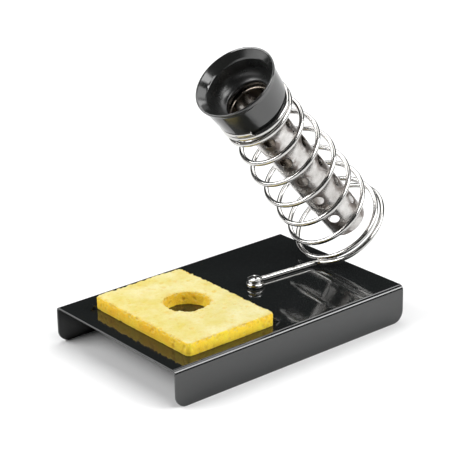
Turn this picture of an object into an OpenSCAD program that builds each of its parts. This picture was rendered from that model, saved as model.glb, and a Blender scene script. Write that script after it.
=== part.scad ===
// Soldering iron stand: a folded steel base with a cleaning sponge, and a sprung wire holder
// whose cup and perforated sleeve take the hot iron. Millimetres, +Z up, +X towards the holder.
// The origin is on the floor, under the middle of the whole stand.

/* [Base] */
// Length of the base along X
base_l = 155; // [150:1:160]
// Width of the base along Y
base_w = 102.5; // [98:0.5:108]
// Height of the base's top face
base_h = 20.8; // [18:0.2:24]
// Thickness of the steel sheet
sheet_t = 1; // [0.8:0.1:1.2]
// Outer radius of the two long bends
bend_r = 2.6; // [2:0.1:3.5]
// Radius of the side walls' lower corners
foot_r = 6.5; // [3:0.5:9]

/* [Sponge] */
// Length of the sponge along X
sponge_l = 56.4; // [54:0.2:57]
// Width of the sponge along Y
sponge_w = 79; // [70:1:84]
// Thickness of the sponge
sponge_t = 7.2; // [5:0.2:10]
// Diameter of the hole that the tip is wiped on
sponge_hole_d = 24; // [16:1:30]
// Width of each lanced tongue that keeps the sponge in place
tongue_w = 4.5; // [3:0.5:6]
// Length of each tongue up its slope
tongue_l = 4.1; // [3:0.1:5]
// Slope of each tongue, in degrees
tongue_a = 34; // [20:1:45]

/* [Spring] */
// Diameter of the holder's wire
wire_d = 2.8; // [2.4:0.1:2.8]
// Tilt of the spring's axis from vertical, in degrees
coil_tilt = 38.7; // [38:0.1:39.5]
// Direction that the spring's axis leans in, from +X, in degrees
coil_turn = 185.4; // [184:0.2:187]
// Radius of the screw eye, to the wire's middle
eye_r = 3.65; // [3.6:0.05:4]
// Wire rings in one turn of the spring
rings_per_turn = 24; // [16:2:32]

/* [Cup] */
// Radius of the cup's rim
cup_r = 22.5; // [22:0.5:23.5]
// Depth of the cup, from its rim to the end of its foot
cup_l = 28; // [27:0.5:29]
// Radius of the foot that the spring grips
cup_foot_r = 17.2; // [16.5:0.1:17.2]
// Radius of the throat over the sleeve's mouth
throat_r = 12.1; // [12:0.1:12.8]

/* [Sleeve] */
// Outer diameter of the sleeve
sleeve_d = 22.5; // [20:0.5:22.5]
// Length of the sleeve, with its flange
sleeve_l = 106.4; // [106:0.1:106.4]
// Wall thickness of the sleeve
sleeve_t = 0.5; // [0.4:0.1:0.8]
// Tilt of the sleeve from vertical, in degrees
sleeve_tilt = 40.4; // [40:0.1:41]
// Diameter of each vent hole
vent_d = 6.5; // [4:0.5:8]
// Distance between vent holes along a row
vent_pitch = 17.8; // [14:0.2:18]
// Vent holes in a row
vent_count = 5; // [3:1:5]

/* [Hidden] */
$fn = 64;
e = 0.01;

// The base's middle stands this far from the origin, because the holder reaches past it
base_x = -14;

// Sponge: its middle, its hole's middle and the tongues' places, from the base's middle
sponge_x = -35.1;
sponge_y = -3.9;
sponge_hole = [3.4, 1.6];
sponge_corner_r = 2;
tongue_gap = [0.4, 2.2];
tongue_y = [36.8, -39];
lance_gap = 0.4;

// Clamp: the screw's place, and the M4 hardware's sizes
screw_at = [17.6, 1.2];
screw_r = 2;
screw_hole_r = 2.2;
head_r = 4.2;
head_h = 2.8;
head_dome_r = 6.6;
recess = [4.6, 0.95, 1.7];
washer_r = 4.5;
washer_t = 0.8;
lock_r = 3.8;
lock_t = 1;
nut_across = 7;
nut_h = 3.2;
thread_end = 1;
fit_gap = 0.05;
thread_gap = 0.02;
under = base_h - sheet_t;
wire_r = wire_d / 2;
wire_z = base_h + fit_gap + wire_r;
head_z = wire_z + wire_r + fit_gap;
nut_z = under - washer_t - lock_t - nut_h;

// Wire leg: it leaves the eye's far side along this heading, up to where the spring starts
leg_a = -4.5;
leg_l = 38.5;
leg_start = [for (k = [0, 1]) screw_at[k] + eye_r * (k == 0 ? cos(90 + leg_a) : sin(90 + leg_a))];
leg_dir = [cos(leg_a), sin(leg_a), 0];
leg_end = [leg_start.x, leg_start.y, wire_z] + leg_l * leg_dir;

// Spring: the middle of its lowest turn, and its axes. Turn 0 starts at the lowest point.
coil_foot = [83.1, 6.05, 39.4];
coil_x = [cos(coil_tilt) * cos(coil_turn), cos(coil_tilt) * sin(coil_turn), -sin(coil_tilt)];
coil_y = [-sin(coil_turn), cos(coil_turn), 0];
coil_z = [sin(coil_tilt) * cos(coil_turn), sin(coil_tilt) * sin(coil_turn), cos(coil_tilt)];
// Height up the axis, and radius, that the wire has reached after each number of turns
turn_height = [[0, 0.3], [1.2, 3.8], [1.7, 8.5], [2.2, 18.5], [3.2, 34], [4.2, 52], [5.2, 70],
               [6.2, 86], [7.2, 101.7], [8.2, 105], [9.4, 108.6]];
turn_radius = [[0, 27.5], [0.7, 25.9], [1.2, 25.1], [2.2, 24.1], [3.2, 22.6], [4.2, 22.3],
               [5.2, 21.3], [6.2, 19.2], [6.8, 18.9], [9.4, 18.9]];
first_turn = 0.045;
last_turn = 9.1;
turn_blur = 0.12;
// The lowest turn leans back by this much
lean = 5;
lean_turns = [0.2, 1.2];
wire_sides = 8;
bend_rings = 8;
bend_pull = 3.2;

// Cup: the distance of its rim up the spring's axis, the radius of its bowl above the rounded
// floor and of that rounding, the depths of the rounding's lowest point and of the floor's
// underside, and the radius of the seat below for the sleeve's flange
rim_s = 128.1;
bowl_r = 17;
floor_fillet = 8;
floor_depth = [16.2, 18.2];
seat_r = 15.5;
// Where the throat cuts the rounding, as an angle about the rounding's own middle
throat_cut = -acos((throat_r - bowl_r + floor_fillet) / floor_fillet);
// Sleeve: the middle of its lower end
sleeve_foot = [83.7, 0.3, 42.8];
flange_r = 14;
flange_t = 0.8;
vent_first = 15;
vent_a = 41;

module at_base() {
    translate([base_x, 0, 0]) children();
}

// Section of the base across X: a channel, open downwards
module channel_section() {
    difference() {
        rounded_top(base_w, base_h, bend_r);
        translate([0, -e]) rounded_top(base_w - 2 * sheet_t, under + e, bend_r - sheet_t);
    }
}

// A rectangle standing on the X axis, with its two upper corners rounded
module rounded_top(w, h, r) {
    translate([-w / 2, 0]) square([w, h - r]);
    translate([-w / 2 + r, 0]) square([w - 2 * r, h]);
    for (side = [-1, 1]) translate([side * (w / 2 - r), h - r]) circle(r);
}

// A lanced tongue, its root at the origin and its tip towards +X
module tongue() {
    tip = tongue_l * [cos(tongue_a), sin(tongue_a)];
    drop = sheet_t * [sin(tongue_a), -cos(tongue_a)];
    heel = sheet_t * tan(tongue_a / 2);
    rotate([90, 0, 0]) linear_extrude(tongue_w, center = true)
        polygon([[-0.6, -sheet_t], [-0.6, 0], [0, 0], tip, tip + drop, [heel, -sheet_t]]);
}

// Distance from a tongue's root to its furthest point
tongue_reach = tongue_l * cos(tongue_a) + sheet_t * sin(tongue_a);

module each_tongue() {
    for (side = [0, 1])
        translate([sponge_x + (side * 2 - 1) * (sponge_l / 2 + tongue_gap[side] + tongue_reach),
                   tongue_y[side], base_h])
            rotate([0, 0, side * 180]) children();
}

module base_plate() {
    color("#16181a") at_base() {
        difference() {
            intersection() {
                rotate([90, 0, 90]) linear_extrude(base_l, center = true) channel_section();
                rotate([90, 0, 0]) linear_extrude(base_w + 2, center = true)
                    mirror([0, 1]) translate([0, -base_h - e]) rounded_top(base_l, base_h + e, foot_r);
            }
            translate([screw_at.x, screw_at.y, under - 1])
                cylinder(r = screw_hole_r, h = sheet_t + 2);
            each_tongue()
                translate([0, -tongue_w / 2 - lance_gap, -sheet_t - 1])
                    cube([tongue_reach + 0.6, tongue_w + 2 * lance_gap, sheet_t + 2]);
        }
        each_tongue() tongue();
    }
}

module sponge() {
    color("#f2c84b") at_base() translate([sponge_x, sponge_y, base_h])
        linear_extrude(sponge_t) difference() {
            rounded_rectangle(sponge_l, sponge_w, sponge_corner_r);
            translate(sponge_hole) circle(d = sponge_hole_d);
        }
}

module rounded_rectangle(w, h, r) {
    square([w, h - 2 * r], center = true);
    square([w - 2 * r, h], center = true);
    for (x = [-1, 1], y = [-1, 1]) translate([x * (w / 2 - r), y * (h / 2 - r)]) circle(r);
}

function blurred(t, table) =
    (lookup(t - turn_blur, table) + 2 * lookup(t, table) + lookup(t + turn_blur, table)) / 4;
function leaning(t) =
    t < lean_turns[0] || t > lean_turns[1] ? 0 : lean * (1 - cos(360 * (t - lean_turns[0]))) / 2;
function coil_point(t) =
    let (r = blurred(t, turn_radius))
    coil_foot + r * cos(360 * t) * coil_x + r * sin(360 * t) * coil_y
        + (blurred(t, turn_height) - leaning(t)) * coil_z;
function unit(v) = v / norm(v);

// The bend from the leg into the spring: a cubic curve between the two headings
bend_to = coil_point(first_turn);
bend_heading = unit(coil_point(first_turn + 0.005) - bend_to);
function bend_point(u) =
    pow(1 - u, 3) * leg_end + 3 * u * pow(1 - u, 2) * (leg_end + bend_pull * leg_dir)
        + 3 * u * u * (1 - u) * (bend_to - bend_pull * bend_heading) + pow(u, 3) * bend_to;

// The wire's middle line from inside the leg's end to the cut end, with a radius at each point
coil_steps = round((last_turn - first_turn) * rings_per_turn);
wire_path = concat(
    [leg_end - leg_dir, leg_end + 0.2 * leg_dir],
    [for (k = [1 : bend_rings - 1]) bend_point(0.08 + 0.92 * k / bend_rings)],
    [for (k = [0 : coil_steps]) coil_point(first_turn + k * (last_turn - first_turn) / coil_steps)]);
function path_heading(k) =
    unit(wire_path[min(k + 1, len(wire_path) - 1)] - wire_path[max(k - 1, 0)]);

// A tube along the path; its first ring is thinner, and is sunk into the leg
module wire_tube() {
    rings = len(wire_path);
    points = [for (k = [0 : rings - 1])
        let (side = unit(cross(path_heading(k), coil_z)), up = cross(side, path_heading(k)),
             r = k == 0 ? wire_r * 0.8 : wire_r)
        for (j = [0 : wire_sides - 1])
            wire_path[k] + r * (cos(360 * j / wire_sides) * side + sin(360 * j / wire_sides) * up)];
    walls = [for (k = [0 : rings - 2], j = [0 : wire_sides - 1])
        let (a = k * wire_sides + j, b = k * wire_sides + (j + 1) % wire_sides)
        each [[a, b, a + wire_sides], [b, b + wire_sides, a + wire_sides]]];
    ends = [[for (j = [wire_sides - 1 : -1 : 0]) j],
            [for (j = [0 : wire_sides - 1]) (rings - 1) * wire_sides + j]];
    polyhedron(points, concat(walls, ends));
}

module spring_wire() {
    color("silver") at_base() {
        translate([screw_at.x, screw_at.y, wire_z]) rotate([0, 0, 90 + leg_a])
            rotate_extrude(angle = 318) translate([eye_r, 0]) circle(wire_r);
        translate([leg_start.x, leg_start.y, wire_z]) rotate([0, 90, leg_a])
            cylinder(r = wire_r, h = leg_l);
        wire_tube();
    }
}

// Puts a shape made along +Z on the spring's axis, at a distance up it
module on_coil(s) {
    translate(coil_foot + s * coil_z) rotate([0, coil_tilt, coil_turn]) children();
}

module cup() {
    color("#1d1f20") at_base() on_coil(rim_s) rotate_extrude()
        polygon(concat(
            [[cup_r - 0.5, 0], [cup_r, -0.6], [cup_r - 0.3, -2.1], [cup_r - 1.4, -3.4],
             [cup_foot_r + 2.8, -18.6], [cup_foot_r, -18.9], [cup_foot_r, -cup_l + 0.6],
             [cup_foot_r - 0.6, -cup_l], [seat_r + 0.3, -cup_l], [seat_r, -cup_l + 0.3],
             [seat_r, -floor_depth[1]], [throat_r, -floor_depth[1]]],
            [for (part = [1 : -0.125 : 0])
                [bowl_r - floor_fillet, floor_fillet - floor_depth[0]]
                + floor_fillet * [cos(part * throat_cut), sin(part * throat_cut)]],
            [[17.7, -4.4], [18.3, -3.6], [cup_r - 1.2, -0.3]]));
}

module on_sleeve() {
    translate(sleeve_foot) rotate([0, -sleeve_tilt, 0]) children();
}

module heat_sleeve() {
    color("#c4c2bc") at_base() on_sleeve() difference() {
        union() {
            cylinder(d = sleeve_d, h = sleeve_l);
            translate([0, 0, sleeve_l - flange_t]) cylinder(r = flange_r, h = flange_t);
        }
        translate([0, 0, -1]) cylinder(r = sleeve_d / 2 - sleeve_t, h = sleeve_l + 2);
        for (row = [0, 1], k = [0 : vent_count - 1])
            translate([0, 0, vent_first + k * vent_pitch]) rotate([90, 0, vent_a + row * 90])
                cylinder(d = vent_d, h = sleeve_d + 2, center = true);
    }
}

module at_screw(z) {
    at_base() translate([screw_at.x, screw_at.y, z]) children();
}

module clamp_screw() {
    color("#d8d8d6") at_screw(head_z) {
        difference() {
            intersection() {
                cylinder(r = head_r, h = head_h);
                translate([0, 0, head_h - head_dome_r]) sphere(head_dome_r);
            }
            for (a = [0, 90]) rotate([0, 0, a])
                translate([-recess.x / 2, -recess.y / 2, head_h - recess.z]) cube(recess);
        }
        translate([0, 0, nut_z - thread_end - head_z])
            cylinder(r = screw_r, h = head_z - nut_z + thread_end + 0.5);
    }
}

module flat_washer() {
    color("#b9bbbc") at_screw(under - washer_t) difference() {
        cylinder(r = washer_r, h = washer_t);
        translate([0, 0, -1]) cylinder(r = screw_hole_r, h = washer_t + 2);
    }
}

module lock_washer() {
    color("#a8abad") at_screw(under - washer_t - lock_t)
        rotate_extrude(angle = 340) translate([screw_r + 0.1, 0])
            square([lock_r - screw_r - 0.1, lock_t]);
}

module hex_nut() {
    color("#b9bbbc") at_screw(nut_z) difference() {
        intersection() {
            cylinder(d = nut_across / cos(30), h = nut_h, $fn = 6);
            cylinder(r1 = nut_across / 2, r2 = nut_across / 2 + nut_h * 1.7, h = nut_h);
        }
        translate([0, 0, -1]) cylinder(r = screw_r + thread_gap, h = nut_h + 2);
    }
}

base_plate();
sponge();
spring_wire();
cup();
heat_sleeve();
clamp_screw();
flat_washer();
lock_washer();
hex_nut();
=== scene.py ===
from math import acos, ceil, cos, pi, radians, sin, sqrt, tan

import bmesh
import bpy
import numpy as np
from mathutils import Matrix, Vector
from mathutils.kdtree import KDTree


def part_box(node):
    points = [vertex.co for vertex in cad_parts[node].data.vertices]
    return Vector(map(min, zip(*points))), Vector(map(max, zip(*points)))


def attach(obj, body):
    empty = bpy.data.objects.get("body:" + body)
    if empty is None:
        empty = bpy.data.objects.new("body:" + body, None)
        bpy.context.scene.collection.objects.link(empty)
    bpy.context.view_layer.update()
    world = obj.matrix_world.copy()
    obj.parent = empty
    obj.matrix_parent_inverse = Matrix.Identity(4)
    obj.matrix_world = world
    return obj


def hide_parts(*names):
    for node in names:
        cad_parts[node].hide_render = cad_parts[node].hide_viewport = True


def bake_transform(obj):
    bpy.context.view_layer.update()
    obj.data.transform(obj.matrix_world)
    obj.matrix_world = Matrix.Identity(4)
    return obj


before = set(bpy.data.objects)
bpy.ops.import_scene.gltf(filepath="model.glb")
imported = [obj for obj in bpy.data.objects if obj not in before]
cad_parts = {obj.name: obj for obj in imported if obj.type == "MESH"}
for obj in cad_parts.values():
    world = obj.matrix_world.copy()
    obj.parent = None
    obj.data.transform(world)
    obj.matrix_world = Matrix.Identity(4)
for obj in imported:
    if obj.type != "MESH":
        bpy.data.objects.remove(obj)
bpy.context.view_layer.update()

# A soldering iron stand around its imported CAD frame. Shapes are worked out in millimetres from the
# middle of the base's footprint, +Z up and +X towards the spring, and go into the frame in metres.

MM = 0.001
BASE_LOW, BASE_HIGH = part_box("base_plate")
BASE = Vector(((BASE_LOW.x + BASE_HIGH.x) / 2, (BASE_LOW.y + BASE_HIGH.y) / 2, 0))

# ---------------------------------------------------------------- sizes, as in part.scad

BASE_L, BASE_W, BASE_H = 155.0, 102.5, 20.8
SHEET_T, BEND_R, FOOT_R = 1.0, 2.6, 6.5
SPONGE_L, SPONGE_W, SPONGE_T = 56.4, 79.0, 7.2
SPONGE_AT = (-35.1, -3.9)
SPONGE_HOLE, SPONGE_HOLE_D = (3.4, 1.6), 24.0
TONGUE_W, TONGUE_L, TONGUE_A = 4.5, 4.1, radians(34)
TONGUE_Y, TONGUE_GAP, LANCE_GAP = (36.8, -39.0), (0.4, 2.2), 0.4
WIRE_R, EYE_R, FIT_GAP = 1.4, 3.65, 0.05
SCREW_AT = (17.6, 1.2)
LEG_A, LEG_L = radians(-4.5), 38.5
COIL_TILT, COIL_TURN = radians(38.7), radians(185.4)
COIL_FOOT = np.array([83.1, 6.05, 39.4])
# (turns, height up the coil's axis) and (turns, radius) that the wire has reached
TURN_HEIGHT = ((0, 0.3), (1.2, 3.8), (1.7, 8.5), (2.2, 18.5), (3.2, 34), (4.2, 52), (5.2, 70),
               (6.2, 86), (7.2, 101.7), (8.2, 105), (9.4, 108.6))
TURN_RADIUS = ((0, 27.5), (0.7, 25.9), (1.2, 25.1), (2.2, 24.1), (3.2, 22.6), (4.2, 22.3),
               (5.2, 21.3), (6.2, 19.2), (6.8, 18.9), (9.4, 18.9))
FIRST_TURN, LAST_TURN, TURN_BLUR = 0.045, 9.1, 0.12
LEAN, LEAN_TURNS = 5.0, (0.2, 1.2)
BEND_PULL = 3.2
RIM_S, CUP_R, CUP_L, CUP_FOOT_R, THROAT_R = 128.1, 22.5, 28.0, 17.2, 12.1
BOWL_R, FLOOR_DEPTH, FLOOR_FILLET, SEAT_R = 17.0, (16.2, 18.2), 8.0, 15.5
SLEEVE_FOOT = np.array([83.7, 0.3, 42.8])
SLEEVE_TILT, SLEEVE_R, SLEEVE_T, SLEEVE_L = radians(40.4), 11.25, 0.5, 106.4
FLANGE_R, FLANGE_T = 14.0, 0.8
VENT_R, VENT_PITCH, VENT_FIRST, VENT_COUNT, VENT_A = 3.25, 17.8, 15.0, 5, radians(41)
HEAD_R, HEAD_H, SCREW_R, SCREW_HOLE_R = 4.2, 2.8, 2.0, 2.2
WASHER_R, WASHER_T, LOCK_R, LOCK_T, NUT_ACROSS, NUT_H, THREAD_END = 4.5, 0.8, 3.8, 1.0, 7.0, 3.2, 1.0
THREAD_PITCH, THREAD_DEPTH = 0.7, 0.38

UNDER = BASE_H - SHEET_T
WIRE_Z = BASE_H + FIT_GAP + WIRE_R
HEAD_Z = WIRE_Z + WIRE_R + FIT_GAP
NUT_Z = UNDER - WASHER_T - LOCK_T - NUT_H


# ---------------------------------------------------------------- mesh helpers

def lying(tilt, turn, origin):
    """A function that takes points made along +Z to an axis with this tilt, turned about Z."""
    x = np.array([cos(tilt) * cos(turn), cos(tilt) * sin(turn), -sin(tilt)])
    y = np.array([-sin(turn), cos(turn), 0.0])
    z = np.array([sin(tilt) * cos(turn), sin(tilt) * sin(turn), cos(tilt)])
    turned = np.array([x, y, z])
    return lambda p: np.asarray(p, float) @ turned + origin


ON_COIL = lying(COIL_TILT, COIL_TURN, COIL_FOOT)
ON_SLEEVE = lying(-SLEEVE_TILT, 0.0, SLEEVE_FOOT)


def at(x, y, z):
    return lambda p: np.asarray(p, float) + (x, y, z)


def make(name, points, faces, material=None, weld=False, smooth=True):
    """An object from points in millimetres about the base's middle."""
    points = np.asarray(points, float) * MM + np.array(BASE)
    mesh = bpy.data.meshes.new(name)
    mesh.from_pydata([tuple(p) for p in points], [], [tuple(f) for f in faces])
    if weld:
        bm = bmesh.new()
        bm.from_mesh(mesh)
        bmesh.ops.remove_doubles(bm, verts=bm.verts, dist=1e-7)
        bmesh.ops.recalc_face_normals(bm, faces=bm.faces)
        bm.to_mesh(mesh)
        bm.free()
    mesh.validate()
    if smooth:
        mesh.shade_smooth()
    o = bpy.data.objects.new(name, mesh)
    bpy.context.scene.collection.objects.link(o)
    if material:
        mesh.materials.append(material)
    return o


def grid_faces(rows, cols, wrap_rows=False, wrap_cols=False):
    """Quads of a grid whose point (i, j) is number i * cols + j."""
    faces = []
    for i in range(rows - (0 if wrap_rows else 1)):
        for j in range(cols - (0 if wrap_cols else 1)):
            a, b = i * cols + j, i * cols + (j + 1) % cols
            c, d = (i + 1) % rows * cols + (j + 1) % cols, (i + 1) % rows * cols + j
            faces.append((a, b, c, d))
    return faces


def filleted(corners, steps=4):
    """A closed outline of (a, b, radius) corners, each rounded by an arc of its radius."""
    out = []
    n = len(corners)
    for i, (x, y, r) in enumerate(corners):
        p = np.array([x, y], float)
        if r <= 0:
            out.append(p)
            continue
        u = np.array(corners[i - 1][:2], float) - p
        v = np.array(corners[(i + 1) % n][:2], float) - p
        lu, lv = np.linalg.norm(u), np.linalg.norm(v)
        u, v = u / lu, v / lv
        half = np.arccos(np.clip(u @ v, -1, 1)) / 2
        back = min(r / np.tan(half), 0.49 * lu, 0.49 * lv)
        radius = back * np.tan(half)
        middle = p + (u + v) / np.linalg.norm(u + v) * radius / np.sin(half)
        start, end = p + u * back - middle, p + v * back - middle
        a0 = np.arctan2(start[1], start[0])
        sweep = (np.arctan2(end[1], end[0]) - a0 + pi) % (2 * pi) - pi
        for k in range(steps + 1):
            a = a0 + sweep * k / steps
            out.append(middle + radius * np.array([cos(a), sin(a)]))
    return np.array(out)


def lathe(name, outline, place, material=None, segments=128):
    """A solid of revolution of a closed (radius, height) outline."""
    angles = 2 * pi * np.arange(segments) / segments
    points = [(r * cos(a), r * sin(a), z) for r, z in outline for a in angles]
    return make(name, place(points), grid_faces(len(outline), segments, True, True), material, weld=True)


def boolean(target, tool, operation):
    """Cuts tool out of target, or joins it on, and deletes tool."""
    m = target.modifiers.new(operation, "BOOLEAN")
    m.operation = operation
    m.solver = "EXACT"
    m.object = tool
    apply_modifiers(target)
    bpy.data.objects.remove(tool)


def apply_modifiers(o):
    bpy.context.view_layer.update()
    graph = bpy.context.evaluated_depsgraph_get()
    mesh = bpy.data.meshes.new_from_object(o.evaluated_get(graph))
    o.modifiers.clear()
    o.data = mesh


def soften_edges(o, width, segments=3, angle=35):
    """Rounds every edge sharper than angle, and shades the piece smoothly between them."""
    m = o.modifiers.new("edges", "BEVEL")
    m.width = width * MM
    m.segments = segments
    m.limit_method = "ANGLE"
    m.angle_limit = radians(angle)
    m.harden_normals = False
    m.use_clamp_overlap = True
    apply_modifiers(o)
    o.data.shade_smooth()
    w = o.modifiers.new("normals", "WEIGHTED_NORMAL")
    w.keep_sharp = True
    apply_modifiers(o)


def dress(o, body, node, material=None):
    """The piece rides on a body, stands for a CAD node and, when given one, takes a material."""
    if material:
        o.data.materials.clear()
        o.data.materials.append(material)
    if body:
        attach(o, body)
    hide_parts(node)
    return o


# ---------------------------------------------------------------- material helpers

class Nodes:
    """A material's node tree, with short calls for the nodes that the finishes use."""

    def __init__(self, name, **values):
        self.material = bpy.data.materials.new(name)
        self.material.use_nodes = True
        self.tree = self.material.node_tree
        self.tree.nodes.clear()
        self.out = self.tree.nodes.new("ShaderNodeOutputMaterial")
        self.bsdf = self.tree.nodes.new("ShaderNodeBsdfPrincipled")
        self.link(self.bsdf.outputs[0], self.out.inputs["Surface"])
        for key, value in values.items():
            self.bsdf.inputs[key.replace("_", " ")].default_value = value
        self.at = self.new("ShaderNodeTexCoord").outputs["Object"]

    def new(self, kind, **settings):
        n = self.tree.nodes.new(kind)
        for key, value in settings.items():
            setattr(n, key, value)
        return n

    def link(self, a, b):
        self.tree.links.new(a, b)

    def noise(self, scale, detail=4.0, rough=0.55, distortion=0.0):
        n = self.new("ShaderNodeTexNoise")
        n.inputs["Scale"].default_value = scale
        n.inputs["Detail"].default_value = detail
        n.inputs["Roughness"].default_value = rough
        n.inputs["Distortion"].default_value = distortion
        self.link(self.at, n.inputs["Vector"])
        return n.outputs["Fac"]

    def cells(self, scale):
        n = self.new("ShaderNodeTexVoronoi")
        n.inputs["Scale"].default_value = scale
        self.link(self.at, n.inputs["Vector"])
        return n.outputs["Distance"]

    def ramp(self, value, low, high, out_low=0.0, out_high=1.0):
        n = self.new("ShaderNodeMapRange")
        for key, v in (("From Min", low), ("From Max", high), ("To Min", out_low), ("To Max", out_high)):
            n.inputs[key].default_value = v
        self.link(value, n.inputs["Value"])
        return n.outputs["Result"]

    def attribute(self, name):
        return self.new("ShaderNodeAttribute", attribute_name=name).outputs["Fac"]

    def math(self, operation, a, b):
        n = self.new("ShaderNodeMath", operation=operation)
        for socket, v in zip(n.inputs, (a, b)):
            if isinstance(v, (int, float)):
                socket.default_value = v
            else:
                self.link(v, socket)
        return n.outputs[0]

    def mix(self, factor, a, b):
        n = self.new("ShaderNodeMix", data_type="RGBA")
        for socket, v in ((n.inputs[0], factor), (n.inputs[6], a), (n.inputs[7], b)):
            if isinstance(v, tuple):
                socket.default_value = (*v, 1.0)
            elif isinstance(v, (int, float)):
                socket.default_value = v
            else:
                self.link(v, socket)
        return n.outputs[2]

    def bump(self, height, strength, distance, after=None):
        n = self.new("ShaderNodeBump")
        n.inputs["Strength"].default_value = strength
        n.inputs["Distance"].default_value = distance * MM
        self.link(height, n.inputs["Height"])
        if after is not None:
            self.link(after, n.inputs["Normal"])
        return n.outputs["Normal"]

    def to(self, value, socket):
        self.link(value, self.bsdf.inputs[socket])


def enamel():
    """Glossy stoved black paint: nearly a black mirror, with a faint orange peel."""
    m = Nodes("black_enamel", IOR=1.7, Roughness=0.06)
    m.to(m.mix(m.noise(60), (0.0065, 0.0076, 0.0076), (0.0090, 0.0102, 0.0100)), "Base Color")
    m.to(m.ramp(m.noise(90, 3.0), 0.35, 0.7, 0.045, 0.10), "Roughness")
    peel = m.bump(m.noise(420, 2.0), 0.10, 0.05)
    m.to(m.bump(m.noise(35, 1.0), 0.12, 0.35, peel), "Normal")
    return m.material


def plated_wire():
    """Bright nickel-plated spring wire, with a fine grain and a few dull patches."""
    m = Nodes("plated_wire", Metallic=1.0, Roughness=0.14)
    m.to(m.mix(m.noise(45), (0.50, 0.49, 0.475), (0.64, 0.63, 0.61)), "Base Color")
    m.to(m.ramp(m.noise(130, 5.0), 0.3, 0.75, 0.09, 0.24), "Roughness")
    m.to(m.bump(m.noise(900, 3.0), 0.18, 0.03), "Normal")
    return m.material


def bakelite(name, smooth, dull):
    """Moulded black bakelite between two roughnesses, with a faint flow texture."""
    m = Nodes(name, IOR=1.75, Roughness=smooth)
    m.to(m.mix(m.noise(80), (0.010, 0.011, 0.011), (0.018, 0.018, 0.017)), "Base Color")
    m.to(m.ramp(m.noise(110, 5.0), 0.3, 0.72, smooth, dull), "Roughness")
    fine = m.bump(m.noise(1400, 3.0), 0.12, 0.03)
    m.to(m.bump(m.noise(70, 2.0), 0.10, 0.25, fine), "Normal")
    return m.material


def sleeve_steel():
    """Bright rolled steel, mottled brown by heat round its vents and scorched brown-grey inside."""
    m = Nodes("sleeve_steel", Metallic=1.0, Roughness=0.3)
    cloud = m.noise(85, 6.0, 0.62)
    clean = m.mix(m.ramp(cloud, 0.38, 0.66), (0.66, 0.65, 0.635), (0.42, 0.40, 0.38))
    soot = m.attribute("soot")
    patchy = m.ramp(m.noise(260, 5.0, 0.6, distortion=0.6), 0.36, 0.60)
    stain = m.ramp(m.math("MULTIPLY", soot, m.math("ADD", 0.25, patchy)), 0.12, 0.62)
    stained = m.mix(stain, clean, (0.215, 0.185, 0.168))
    burnt = m.mix(m.ramp(cloud, 0.35, 0.7), (0.16, 0.138, 0.115), (0.34, 0.29, 0.24))
    scorch = m.attribute("scorch")
    m.to(m.mix(scorch, stained, burnt), "Base Color")
    dulled = m.math("MULTIPLY", stain, 0.10)
    m.to(m.math("ADD", m.ramp(cloud, 0.3, 0.75, 0.15, 0.30), dulled), "Roughness")
    fine = m.bump(m.noise(1100, 4.0), 0.20, 0.03)
    m.to(m.bump(m.noise(120, 3.0), 0.35, 0.5, fine), "Normal")
    return m.material


def zinc_plate():
    """Bright zinc plate, slightly clouded, with painted shade darkening a screw's recess."""
    m = Nodes("zinc_plate", Metallic=1.0, Roughness=0.18)
    recess_shade = m.attribute("recess_shade")
    plate = m.mix(m.noise(300), (0.66, 0.67, 0.67), (0.82, 0.82, 0.80))
    # Painted shade: the recess mask turns the plate colour nearly black in a screw's cross recess.
    m.to(m.mix(m.ramp(recess_shade, 0.02, 0.2), plate, (0.030, 0.028, 0.026)), "Base Color")
    m.to(m.ramp(m.noise(500, 5.0), 0.3, 0.75, 0.10, 0.28), "Roughness")
    m.to(m.bump(m.noise(2500, 2.0), 0.15, 0.02), "Normal")
    return m.material


def spring_steel():
    """Plated spring steel, a little darker and duller than the zinc plate."""
    m = Nodes("spring_steel", Metallic=1.0, Roughness=0.3)
    m.to(m.mix(m.noise(400), (0.36, 0.36, 0.35), (0.52, 0.51, 0.49)), "Base Color")
    m.to(m.ramp(m.noise(700, 4.0), 0.3, 0.7, 0.22, 0.40), "Roughness")
    m.to(m.bump(m.noise(2500, 2.0), 0.2, 0.02), "Normal")
    return m.material


def cellulose():
    """Dry yellow cellulose sponge, its colour painted with light and shade: pale where it faces up, deeper
    gold on its sides, and darker gold in its pits and pores as painted shade.
    """
    m = Nodes("cellulose_sponge", Roughness=0.82, Specular_IOR_Level=0.25)
    m.bsdf.inputs["Subsurface Weight"].default_value = 0.22
    m.bsdf.inputs["Subsurface Radius"].default_value = (1.0, 0.55, 0.12)
    m.bsdf.inputs["Subsurface Scale"].default_value = 1.6 * MM
    m.bsdf.inputs["Sheen Weight"].default_value = 0.12
    normal = m.new("ShaderNodeNewGeometry").outputs["True Normal"]
    split = m.new("ShaderNodeSeparateXYZ")
    m.link(normal, split.inputs[0])
    # Painted light and shade: the colour turns from the deep gold of the shaded sides to the pale colour of
    # the lit upper faces as the surface faces upward.
    upward_lit = m.ramp(split.outputs["Z"], 0.25, 0.85)
    patches = m.ramp(m.noise(55, 4.0, 0.6), 0.32, 0.68)
    face = m.mix(patches, (0.60, 0.50, 0.115), (0.70, 0.65, 0.35))
    side = m.mix(patches, (0.98, 0.55, 0.018), (0.99, 0.77, 0.055))
    body = m.mix(upward_lit, side, face)
    # Painted shade in the pits and fine pores: deeper pits and the pore specks turn the colour darker gold.
    pit = m.attribute("pit")
    pore_specks = m.ramp(m.cells(1150), 0.05, 0.45, 1.0, 0.0)
    pore_shade = m.math("MAXIMUM", m.math("MULTIPLY", pit, 0.85), m.math("MULTIPLY", pore_specks, 0.26))
    m.to(m.mix(pore_shade, body, (0.62, 0.40, 0.045)), "Base Color")
    fine = m.bump(m.cells(1500), 0.55, 0.22)
    m.to(m.bump(m.noise(700, 5.0, 0.7), 0.45, 0.2, fine), "Normal")
    return m.material


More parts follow.
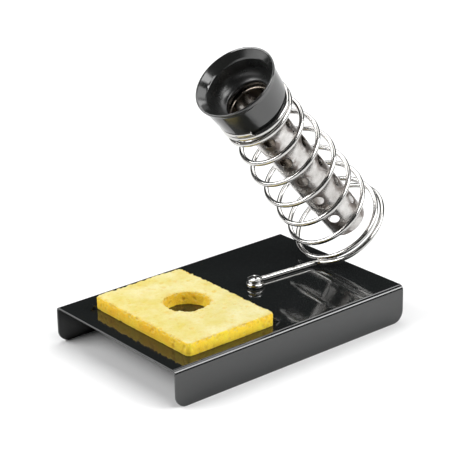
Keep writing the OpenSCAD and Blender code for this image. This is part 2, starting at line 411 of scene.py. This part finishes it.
ENAMEL, WIRE, SLEEVE_STEEL = enamel(), plated_wire(), sleeve_steel()
BAKELITE = bakelite("black_bakelite", 0.09, 0.20)
RUBBED_BAKELITE = bakelite("rubbed_bakelite", 0.22, 0.34)
ZINC, SPRING_STEEL, CELLULOSE = zinc_plate(), spring_steel(), cellulose()


# ---------------------------------------------------------------- the folded base

def sheet_section():
    """(y, z) down one half of the folded sheet's outer face from its middle, each with the face's
    outward normal there."""
    half, points = BASE_W / 2, []
    for y in np.linspace(0, half - BEND_R, 24)[:-1]:
        points.append((y, BASE_H, 0, 1))
    for a in np.linspace(0, pi / 2, 13):
        out, up = sin(a), cos(a)
        points.append((half - BEND_R * (1 - out), BASE_H - BEND_R * (1 - up), out, up))
    for z in np.linspace(BASE_H - BEND_R, FOOT_R, 6)[1:]:
        points.append((half, z, 1, 0))
    for a in np.linspace(0, pi / 2, 12)[1:]:
        points.append((half, FOOT_R * (1 - sin(a)), 1, 0))
    return points


def folded_sheet():
    """The channel as one closed sheet, its side walls' lower corners rounded."""
    half = sheet_section()
    section = [(-y, z, -ny, nz) for y, z, ny, nz in half[:0:-1]] + half
    columns = np.sin(np.linspace(-pi / 2, pi / 2, 61))
    faces, points = [], []
    for inner in (False, True):
        for y, z, ny, nz in section:
            drop = max(FOOT_R - z, 0)
            reach = BASE_L / 2 - (FOOT_R - sqrt(max(FOOT_R ** 2 - drop ** 2, 0)))
            for c in columns:
                t = SHEET_T if inner else 0
                points.append((c * reach, y - ny * t, z - nz * t))
    rows, cols = len(section), len(columns)
    outer = grid_faces(rows, cols)
    faces += outer + [tuple(k + rows * cols for k in f[::-1]) for f in outer]
    rim = ([j for j in range(cols)] + [i * cols + cols - 1 for i in range(1, rows)]
           + [(rows - 1) * cols + j for j in range(cols - 2, -1, -1)]
           + [i * cols for i in range(rows - 2, 0, -1)])
    for a, b in zip(rim, rim[1:] + rim[:1]):
        faces.append((a, b, b + rows * cols, a + rows * cols))
    return make("base_sheet", points, faces, weld=True)


TONGUE_REACH = TONGUE_L * cos(TONGUE_A) + SHEET_T * sin(TONGUE_A)


def tongue_places():
    for side in (0, 1):
        way = 1 - 2 * side
        x = SPONGE_AT[0] - way * (SPONGE_L / 2 + TONGUE_GAP[side] + TONGUE_REACH)
        yield way, x, TONGUE_Y[side]


def slab(name, outline, width, place):
    """A closed (x, z) outline extruded along Y."""
    n = len(outline)
    points = [(x, side * width / 2, z) for side in (-1, 1) for x, z in outline]
    faces = [tuple(range(n)), tuple(range(2 * n - 1, n - 1, -1))]
    faces += [(k, k + n, (k + 1) % n + n, (k + 1) % n) for k in range(n)]
    return make(name, place(points), faces, weld=True, smooth=False)


def build_base():
    base = folded_sheet()
    hole = lathe("hole", [(0.001, -4), (SCREW_HOLE_R, -4), (SCREW_HOLE_R, 4), (0.001, 4)],
                 at(SCREW_AT[0], SCREW_AT[1], UNDER), segments=48)
    boolean(base, hole, "DIFFERENCE")
    tip = TONGUE_L * np.array([cos(TONGUE_A), sin(TONGUE_A)])
    drop = SHEET_T * np.array([sin(TONGUE_A), -cos(TONGUE_A)])
    heel = SHEET_T * tan(TONGUE_A / 2)
    lip = filleted([(-0.6, -SHEET_T, 0), (-0.6, 0, 0), (0, 0, 1.2), (*tip, 0.3), (*(tip + drop), 0.3),
                    (heel, -SHEET_T, 0.8)])
    for way, x, y in tongue_places():
        turn = lying(0, 0 if way > 0 else pi, np.array([x, y, BASE_H]))
        slot = [(0, -SHEET_T - 2), (TONGUE_REACH + 0.6, -SHEET_T - 2), (TONGUE_REACH + 0.6, 2), (0, 2)]
        boolean(base, slab("slot", slot, TONGUE_W + 2 * LANCE_GAP, turn), "DIFFERENCE")
        boolean(base, slab("tongue", lip, TONGUE_W, turn), "UNION")
    soften_edges(base, 0.22, 3, 50)
    return dress(base, "base", "base_plate", ENAMEL)


# ---------------------------------------------------------------- the sponge

def build_sponge():
    """A slab cut from a block of cellulose foam: remeshed finely, then sunk by its own pores."""
    rng = np.random.default_rng(7)
    corner, inset, voxel = 2.2, 0.1, 0.45
    ways = ((-1, -1), (1, -1), (1, 1), (-1, 1))
    outline = filleted([(x * SPONGE_L / 2, y * SPONGE_W / 2, corner) for x, y in ways], 6)
    n = len(outline)
    low, high = BASE_H - 0.6, BASE_H + SPONGE_T - inset
    points = [(x * (1 - inset / 30) + SPONGE_AT[0], y * (1 - inset / 40) + SPONGE_AT[1], z)
              for z in (low, high) for x, y in outline]
    faces = [tuple(range(n))[::-1], tuple(range(n, 2 * n))]
    faces += [(k, (k + 1) % n, (k + 1) % n + n, k + n) for k in range(n)]
    pad = make("sponge_pad", points, faces, CELLULOSE, weld=True)
    middle = (SPONGE_AT[0] + SPONGE_HOLE[0], SPONGE_AT[1] + SPONGE_HOLE[1], BASE_H)
    r = SPONGE_HOLE_D / 2 + inset
    boolean(pad, lathe("punch", [(0.001, -3), (r, -3), (r, SPONGE_T + 3), (0.001, SPONGE_T + 3)],
                       at(*middle), segments=96), "DIFFERENCE")
    m = pad.modifiers.new("voxels", "REMESH")
    m.mode = "VOXEL"
    m.voxel_size = voxel * MM
    m = pad.modifiers.new("round", "SMOOTH")
    m.factor = 0.5
    m.iterations = 3
    apply_modifiers(pad)
    mesh = pad.data
    count = len(mesh.vertices)
    co, no = np.empty(count * 3), np.empty(count * 3)
    mesh.vertices.foreach_get("co", co)
    mesh.vertices.foreach_get("normal", no)
    co, no = co.reshape(-1, 3) / MM, no.reshape(-1, 3)
    tree = KDTree(count)
    for k, p in enumerate(co):
        tree.insert(p, k)
    tree.balance()
    sink = np.zeros(count)
    for radius_low, radius_high, number in ((0.4, 0.7, 3000), (0.7, 1.1, 520), (1.1, 1.6, 60)):
        for k in rng.integers(0, count, number):
            radius = rng.uniform(radius_low, radius_high)
            depth = radius * rng.uniform(0.2, 0.5)
            centre = co[k] + rng.normal(0, 0.2, 3)
            squeeze = rng.uniform(0.7, 1.0)
            for _, near, distance in tree.find_range(centre, radius):
                sink[near] = max(sink[near], depth * squeeze * sqrt(max(1 - (distance / radius) ** 2, 0)))
    edge = np.flatnonzero((no[:, 2] > 0.25) & (no[:, 2] < 0.85))
    for k in rng.choice(edge, 260):
        radius = rng.uniform(0.6, 1.5)
        depth = radius * rng.uniform(0.25, 0.6)
        for _, near, distance in tree.find_range(co[k] + rng.normal(0, 0.3, 3), radius):
            sink[near] = max(sink[near], depth * sqrt(max(1 - (distance / radius) ** 2, 0)))
    ripples = ((0.09, 0.10), (0.16, 0.08), (0.3, 0.05), (0.55, 0.04), (1.1, 0.035), (2.0, 0.03))
    waves = sum(np.sin(co @ rng.normal(0, f, 3) + rng.uniform(0, 6)) * a for f, a in ripples)
    move = (0.7 * waves + 0.1 - sink) * (no[:, 2] > -0.5)
    co = co + no * move[:, None]
    co[:, 2] = np.maximum(co[:, 2], BASE_H + 0.02)
    mesh.vertices.foreach_set("co", (co * MM).ravel())
    # The pit depth, which the sponge material paints as shade.
    pit = mesh.attributes.new("pit", "FLOAT", "POINT")
    pit.data.foreach_set("value", np.clip(sink / 0.8, 0, 1).astype(np.float32))
    mesh.shade_smooth()
    mesh.update()
    dress(pad, "sponge", "sponge")
    return pad


# ---------------------------------------------------------------- the wire

def unit(v):
    return v / np.linalg.norm(v)


def blurred(t, table):
    xs, ys = zip(*table)
    return sum(w * np.interp(t + d, xs, ys) for w, d in ((0.25, -TURN_BLUR), (0.5, 0), (0.25, TURN_BLUR)))


def coil_point(t):
    r, a = blurred(t, TURN_RADIUS), 2 * pi * t
    lean = 0.0
    if LEAN_TURNS[0] < t < LEAN_TURNS[1]:
        lean = LEAN * (1 - cos(2 * pi * (t - LEAN_TURNS[0]))) / 2
    return ON_COIL((r * cos(a), r * sin(a), blurred(t, TURN_HEIGHT) - lean))


def wire_path():
    """The wire's middle line: the eye's cut end, the eye, the leg, the bend and the coil."""
    path = []
    eye_start = pi / 2 + LEG_A
    for a in np.linspace(eye_start + radians(318), eye_start, 61):
        path.append((SCREW_AT[0] + EYE_R * cos(a), SCREW_AT[1] + EYE_R * sin(a), WIRE_Z))
    start = np.array(path[-1])
    heading = np.array([cos(LEG_A), sin(LEG_A), 0])
    end = start + LEG_L * heading
    for u in np.linspace(0, 1, 25)[1:]:
        path.append(start + u * (end - start))
    there = coil_point(FIRST_TURN)
    onward = unit(coil_point(FIRST_TURN + 0.005) - there)
    for u in np.linspace(0, 1, 13)[1:-1]:
        path.append((1 - u) ** 3 * end + 3 * u * (1 - u) ** 2 * (end + BEND_PULL * heading)
                    + 3 * u * u * (1 - u) * (there - BEND_PULL * onward) + u ** 3 * there)
    rings = int((LAST_TURN - FIRST_TURN) * 84)
    path += [coil_point(t) for t in np.linspace(FIRST_TURN, LAST_TURN, rings)]
    return np.array(path)


def tube(name, path, radius, sides, reference, material):
    """A round bar along a path, with its two cut ends slightly rounded."""
    heading = np.gradient(path, axis=0)
    heading /= np.linalg.norm(heading, axis=1)[:, None]
    rings = []
    nose, steps = 0.22 * radius, ((0.8, 0.0), (0.94, 0.5))
    for k, (p, h) in enumerate(zip(path, heading)):
        side = unit(np.cross(h, reference))
        up = np.cross(side, h)
        if k == 0:
            rings += [(p - h * nose * (1 - b), side, up, radius * a) for a, b in steps]
        rings.append((p, side, up, radius))
        if k == len(path) - 1:
            rings += [(p + h * nose * (1 - b), side, up, radius * a) for a, b in steps[::-1]]
    angles = 2 * pi * np.arange(sides) / sides
    points = [p + r * (cos(a) * s + sin(a) * u) for p, s, u, r in rings for a in angles]
    faces = grid_faces(len(rings), sides, False, True)
    faces += [tuple(range(sides))[::-1], tuple(range((len(rings) - 1) * sides, len(rings) * sides))]
    return make(name, points, faces, material, weld=True)


def build_wire():
    axis = ON_COIL((0, 0, 1)) - COIL_FOOT
    wire = tube("spring_form", wire_path(), WIRE_R, 20, axis, WIRE)
    blend_a, blend_from, blend_to = radians(15), 0.5, 84.0
    way = np.array([-sin(blend_a), 0, cos(blend_a)])
    start, end = (Vector((COIL_FOOT + s * way) * MM) + BASE for s in (blend_from, blend_to))
    dress(wire, None, "spring_wire")
    tuple(start)
    tuple(end)
    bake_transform(wire)
    return wire


# ---------------------------------------------------------------- the cup

def build_cup():
    """A turned moulding: a flared lip, a bowl with a rounded floor, rubbed duller than the rest,
    and a foot inside the coil."""
    bowl_floor, under_floor = FLOOR_DEPTH
    foot = [(THROAT_R + 0.01, -under_floor, 0), (SEAT_R, -under_floor, 0.3),
            (SEAT_R, -CUP_L + 0.3, 0.1), (SEAT_R + 0.3, -CUP_L, 0.1),
            (CUP_FOOT_R - 0.7, -CUP_L, 0.4), (CUP_FOOT_R, -CUP_L + 0.7, 0.5),
            (CUP_FOOT_R, -18.9, 0.2), (CUP_FOOT_R + 2.8, -18.5, 0.5)]
    lip = [(CUP_R - 1.2, -3.4, 1.6), (CUP_R - 0.3, -2.1, 0.8), (CUP_R, -0.7, 0.6),
           (CUP_R - 0.45, 0.0, 0.5), (CUP_R - 1.2, -0.35, 0.8)]
    bowl = [(18.3, -3.6, 0.5), (17.7, -4.4, 1.5), (BOWL_R, FLOOR_FILLET - bowl_floor, 0)]
    outside = filleted(foot + lip + bowl, 8)
    cut = acos((THROAT_R - BOWL_R + FLOOR_FILLET) / FLOOR_FILLET)
    middle = np.array([BOWL_R - FLOOR_FILLET, FLOOR_FILLET - bowl_floor])
    arc = np.linspace(0, cut - 0.03, 17)[1:]
    floor = [middle + FLOOR_FILLET * np.array([cos(a), -sin(a)]) for a in arc]
    edge = floor[-1] + np.array([-0.17, -0.22])
    outline = np.vstack([outside, floor, edge, (THROAT_R, edge[1] - 0.35)])
    raised = at(0, 0, RIM_S)
    cup = lathe("cup_moulding", outline[::-1], lambda p: ON_COIL(raised(p)), BAKELITE, 160)
    cup.data.materials.append(RUBBED_BAKELITE)
    rim = ON_COIL((0, 0, RIM_S))
    axis = ON_COIL((0, 0, RIM_S + 1)) - rim
    for face in cup.data.polygons:
        arm = (np.array(face.center) - np.array(BASE)) / MM - rim
        height = arm @ axis
        if height > 0.5 - under_floor and np.linalg.norm(arm - height * axis) < BOWL_R + 0.6:
            face.material_index = 1
    return dress(cup, "head", "cup")


# ---------------------------------------------------------------- the sleeve

def build_sleeve():
    """A rolled, punched tube: a cell of quads round each vent hole, plain rings, and a flange."""
    per_side = 14
    angles = [pi / 4 * (-1 + 2 * k / per_side) for k in range(per_side + 1)]
    spread = [tan(a) for a in angles]
    arc = pi / 2
    points, faces = [], []

    def spot(theta, v, depth):
        r = SLEEVE_R - depth
        return (r * cos(theta), r * sin(theta), v)

    def ring_quads(rings, closed):
        start = len(points)
        n = len(rings[0])
        for ring in rings:
            points.extend(ring)
        faces.extend(tuple(start + k for k in f) for f in grid_faces(len(rings), n, False, closed))

    half_v = VENT_PITCH / 2
    border = [2 * pi * k / (4 * per_side) for k in range(4 * per_side)]
    skin = [(0.0, 1), (SLEEVE_T, -1)]
    for row in range(4):
        middle = VENT_A - pi / 2 + row * arc
        for k in range(VENT_COUNT):
            v0 = VENT_FIRST + k * VENT_PITCH

            def place(radial, a, depth):
                """radial 0 is the hole's edge and 1 the cell's border."""
                square = 1 / max(abs(cos(a)), abs(sin(a)))
                u = (1 - radial) * VENT_R * cos(a) + radial * square * cos(a) * SLEEVE_R * arc / 2
                v = (1 - radial) * VENT_R * sin(a) + radial * square * sin(a) * half_v
                return spot(middle + u / SLEEVE_R, v0 + v, depth)

            edge = [(0.0, 0.10), (0.02, 0.0), (0.12, 0.0), (0.35, 0.0), (0.65, 0.0), (1.0, 0.0)]
            outer = [[place(q, a, d) for a in border] for q, d in edge]
            inner = [[place(q, a, SLEEVE_T - d) for a in border] for q, d in edge]
            ring_quads(inner[::-1] + outer, True)
    columns = [VENT_A - pi / 2 + row * arc + s * arc / 2 for row in range(4) for s in spread[:-1]]
    first, last = VENT_FIRST - half_v, VENT_FIRST + (VENT_COUNT - 0.5) * VENT_PITCH
    foot = [(first, 0.0), (first / 2, 0.0), (0.12, 0.0), (0.0, 0.12), (0.0, SLEEVE_T - 0.12),
            (0.12, SLEEVE_T), (first / 2, SLEEVE_T), (first, SLEEVE_T)]
    ring_quads([[spot(c, v, d) for c in columns] for v, d in foot], True)
    low, out = SLEEVE_L - FLANGE_T, SLEEVE_R - FLANGE_R
    neck = filleted([(low, 0.0, 0.7), (low, out, 0.3), (SLEEVE_L, out, 0.3), (SLEEVE_L, SLEEVE_T, 1.2),
                     (last, SLEEVE_T, 0), (last, 0.0, 0)], 5)
    ring_quads([[spot(c, v, d) for c in columns] for v, d in np.roll(neck, 1, axis=0)[:-1]], True)
    sleeve = make("vented_sleeve", ON_SLEEVE(points), faces, SLEEVE_STEEL, weld=True)
    mesh = sleeve.data
    axis = ON_SLEEVE((0, 0, 1)) - SLEEVE_FOOT
    arm = np.array([v.co for v in mesh.vertices]) / MM - np.array(BASE) / MM - SLEEVE_FOOT
    along = arm @ axis
    radius = np.linalg.norm(arm - np.outer(along, axis), axis=1)
    inside = np.clip((along - 18) / 30, 0.1, 1) * (radius < SLEEVE_R - 0.6 * SLEEVE_T)
    burnt = np.maximum(inside, along > SLEEVE_L - 3)
    scorch = mesh.attributes.new("scorch", "FLOAT", "POINT")
    scorch.data.foreach_set("value", burnt.astype(np.float32))
    across, sideways = ON_SLEEVE((1, 0, 0)) - SLEEVE_FOOT, ON_SLEEVE((0, 1, 0)) - SLEEVE_FOOT
    turn = np.arctan2(arm @ sideways, arm @ across) - VENT_A
    off = SLEEVE_R * ((turn + pi / 4) % (pi / 2) - pi / 4)
    step = (along - VENT_FIRST + VENT_PITCH / 2) % VENT_PITCH - VENT_PITCH / 2
    soot = mesh.attributes.new("soot", "FLOAT", "POINT")
    soot.data.foreach_set("value", np.exp(-(off / 5.2) ** 2 - (step / 11.0) ** 2).astype(np.float32))
    return dress(sleeve, "head", "heat_sleeve")


# ---------------------------------------------------------------- the clamp's hardware

def on_screw(z):
    return at(SCREW_AT[0], SCREW_AT[1], z)


def thread(low, high, major, outward=True, segments=48):
    """Rows of (height, radii round the row) of a helical thread between two heights."""
    rows = ceil((high - low) / 0.07)
    for k in range(rows + 1):
        z = low + (high - low) * k / rows
        fade = min(1, (z - low) / 0.6, (high - z) / 0.6)
        radii = []
        for j in range(segments):
            phase = (z / THREAD_PITCH - j / segments) % 1
            radii.append(major - THREAD_DEPTH * abs(2 * phase - 1) * (fade if outward else 1))
        yield z, radii


def around(rows, sides):
    """Points of rows of (height, radii round the row)."""
    return [(r * cos(2 * pi * j / sides), r * sin(2 * pi * j / sides), z)
            for z, radii in rows for j, r in enumerate(radii)]


def build_screw():
    """A pan head with a cross recess, over a threaded shank."""
    dome_a, dome_rise = 1.0, 1.15
    flatness = dome_rise / (1 - cos(dome_a))
    dome = [(HEAD_R * sin(a) / sin(dome_a), HEAD_H - flatness * (1 - cos(a)))
            for a in np.linspace(0.02, dome_a, 14)]
    skirt = [(HEAD_R, 1.4), (HEAD_R, 0.35), (HEAD_R - 0.12, 0.1), (HEAD_R - 0.35, 0.0)]
    outline = [(0.001, HEAD_H)] + dome + skirt + [(SCREW_R - 0.05, 0.0), (0.001, 0.0)]
    head = lathe("pan_screw", outline, on_screw(HEAD_Z), segments=96)
    wide, thick, deep, cross_a = 5.6, 1.25, 2.0, 1.0
    for a in (cross_a, cross_a + pi / 2):
        blade = [(-wide / 2, HEAD_H + 1), (-wide / 2, HEAD_H - 0.5), (-wide / 4, HEAD_H - deep),
                 (wide / 4, HEAD_H - deep), (wide / 2, HEAD_H - 0.5), (wide / 2, HEAD_H + 1)]
        boolean(head, slab("blade", blade, thick, lying(0, a, np.array([*SCREW_AT, HEAD_Z]))), "DIFFERENCE")
    soften_edges(head, 0.1, 2, 38)
    low = NUT_Z - THREAD_END - HEAD_Z
    sides = 48
    rows = [(low, [SCREW_R - 0.55] * sides)] + list(thread(low + 0.25, 0.2, SCREW_R))
    points = around(rows, sides)
    faces = grid_faces(len(rows), sides, False, True)
    faces += [tuple(range(sides))[::-1], tuple(range(len(points) - sides, len(points)))]
    shank = make("shank", on_screw(HEAD_Z)(points), faces, weld=True)
    boolean(head, shank, "UNION")
    # Painted shade: points in the cross recess are marked darker the deeper they lie below the dome.
    arm = (np.array([v.co for v in head.data.vertices]) - np.array(BASE)) / MM - (*SCREW_AT, HEAD_Z)
    radius = np.hypot(arm[:, 0], arm[:, 1])
    lean = np.arcsin(np.minimum(radius / HEAD_R, 1) * sin(dome_a))
    below = HEAD_H - flatness * (1 - np.cos(lean)) - arm[:, 2]
    within = (radius < wide / 2) & (arm[:, 2] > HEAD_H - deep - 0.1)
    recess_shade = head.data.attributes.new("recess_shade", "FLOAT", "POINT")
    recess_shade.data.foreach_set("value", (within * np.clip((below - 0.06) / 0.3, 0, 1)).astype(np.float32))
    return dress(head, "base", "clamp_screw", ZINC)


def build_washer():
    corners = [(SCREW_HOLE_R, 0.0, 0.08), (WASHER_R, 0.0, 0.22), (WASHER_R, WASHER_T, 0.12),
               (SCREW_HOLE_R, WASHER_T, 0.08)]
    outline = filleted(corners, 4)
    washer = lathe("plain_washer", outline, on_screw(UNDER - WASHER_T), ZINC, 96)
    return dress(washer, "base", "flat_washer")


def build_lock_washer():
    """A split ring of trapezoid wire, pressed flat, with its two cut ends apart."""
    inner, outer, rings = SCREW_R + 0.1, LOCK_R, 72
    taper, edge, split_at = 0.03, 0.12, radians(340)
    section = filleted([(inner, taper, edge), (outer, 0.0, edge), (outer, LOCK_T, edge),
                        (inner, LOCK_T - taper, edge)], 3)
    turns = np.linspace(0, split_at, rings)
    points = [(r * cos(a), r * sin(a), z) for a in turns for r, z in section]
    n = len(section)
    faces = grid_faces(rings, n, False, True)
    faces += [tuple(range(n))[::-1], tuple(range((rings - 1) * n, rings * n))]
    place = on_screw(UNDER - WASHER_T - LOCK_T)
    lock = make("split_washer", place(points), faces, SPRING_STEEL, weld=True)
    return dress(lock, "base", "lock_washer")


def build_nut():
    """A hexagon nut: flats, a turned chamfer on its outer face, and a threaded hole."""
    segments = 96
    flat = NUT_ACROSS / 2

    def hexagon(a, r_max):
        off = (a + pi / 6) % (pi / 3) - pi / 6
        return min(flat / cos(off), r_max)

    unlimited, chamfer = 9.9, 1.73
    heights = [(0.0, flat - 0.15), (0.0, flat + 0.02)]
    heights += [(h, flat + 0.02 + chamfer * h) for h in np.linspace(0.04, 0.36, 7)]
    heights += [(NUT_H * k / 6, unlimited) for k in range(1, 7)] + [(NUT_H, flat - 0.4)]
    rows = [(z, [hexagon(2 * pi * j / segments, r) for j in range(segments)]) for z, r in heights]
    mouth = [SCREW_R + 0.35] * segments
    rows.append((NUT_H, mouth))
    rows += list(thread(0.25, NUT_H - 0.25, SCREW_R + 0.02, False, segments))[::-1]
    rows.append((0.0, mouth))
    faces = grid_faces(len(rows), segments, True, True)
    nut = make("hexagon_nut", on_screw(NUT_Z)(around(rows, segments)), faces, ZINC, weld=True)
    soften_edges(nut, 0.08, 2, 32)
    return dress(nut, "base", "hex_nut")


# ---------------------------------------------------------------- floor, light and camera

def build_stage():
    reach = 4000
    corners = [(x * reach, y * reach, 0) for x, y in ((-1, -1), (1, -1), (1, 1), (-1, 1))]
    floor = make("floor", corners, [(0, 1, 2, 3)], smooth=False)
    m = Nodes("pale_floor", Roughness=0.9, Specular_IOR_Level=0.1)
    m.to(m.mix(m.noise(3), (0.86, 0.86, 0.86), (0.88, 0.88, 0.88)), "Base Color")
    floor.data.materials.append(m.material)
    world = bpy.data.worlds.new("studio")
    bpy.context.scene.world = world
    world.use_nodes = True
    world.node_tree.nodes["Background"].inputs["Color"].default_value = (0.028, 0.029, 0.030, 1)


def softbox(name, place, aim, size, power):
    """A rectangular area light in watts, placed and aimed in metres about the base's middle."""
    light = bpy.data.lights.new(name, "AREA")
    light.shape = "RECTANGLE"
    light.size, light.size_y = size
    light.energy = power
    o = bpy.data.objects.new(name, light)
    o.location = Vector(place) + BASE
    o.rotation_euler = (Vector(aim) - Vector(place)).to_track_quat("-Z", "Y").to_euler()
    bpy.context.scene.collection.objects.link(o)


def build_lights():
    softbox("overhead", (0.65, 0.25, 1.5), (0.65, 0.25, 0), (0.8, 1.7), 10)
    softbox("overhead_back", (-0.12, 0.7, 1.5), (-0.12, 0.7, 0), (0.76, 0.84), 5)
    softbox("overhead_right", (1.48, 0.75, 1.5), (1.48, 0.75, 0), (0.84, 0.9), 7)
    softbox("front_high", (-0.1, -0.85, 1.4), (0, -0.1, 0), (0.7, 0.6), 6.6)
    softbox("front_strip", (0.99, -1.06, 1.04), (0.99, -0.05, 0), (0.95, 0.7), 16.5)
    softbox("front_low", (0.24, -1.35, 0.95), (0, 0, 0.05), (0.8, 0.5), 5)
    softbox("left", (-1.1, 0.79, 1.02), (0, 0, 0.05), (1.5, 0.55), 25)


def build_camera():
    """The camera looks along +Y turned 39 degrees towards +X, 21.7 degrees downwards."""
    azimuth, elevation, roll = radians(39.01), radians(21.65), radians(-1.22)
    across, up_shift, distance = -1.73, 54.88, 889.5
    lens_in_widths = 3.6144
    right = Vector((cos(azimuth), -sin(azimuth), 0))
    ahead = Vector((cos(elevation) * sin(azimuth), cos(elevation) * cos(azimuth), -sin(elevation)))
    up = right.cross(ahead)
    right, up = cos(roll) * right + sin(roll) * up, cos(roll) * up - sin(roll) * right
    data = bpy.data.cameras.new("photo_view")
    data.sensor_width = 36
    data.lens = 36 * lens_in_widths
    data.clip_end = 50
    o = bpy.data.objects.new("photo_view", data)
    o.matrix_world = (Matrix.Translation((across * right + up_shift * up - distance * ahead) * MM + BASE)
                      @ Matrix((right, up, -ahead)).transposed().to_4x4())
    bpy.context.scene.collection.objects.link(o)
    bpy.context.scene.camera = o


build_base()
build_sponge()
build_wire()
build_cup()
build_sleeve()
build_screw()
build_washer()
build_lock_washer()
build_nut()
build_stage()
build_lights()
build_camera()
bpy.context.scene.view_settings.view_transform = "Standard"
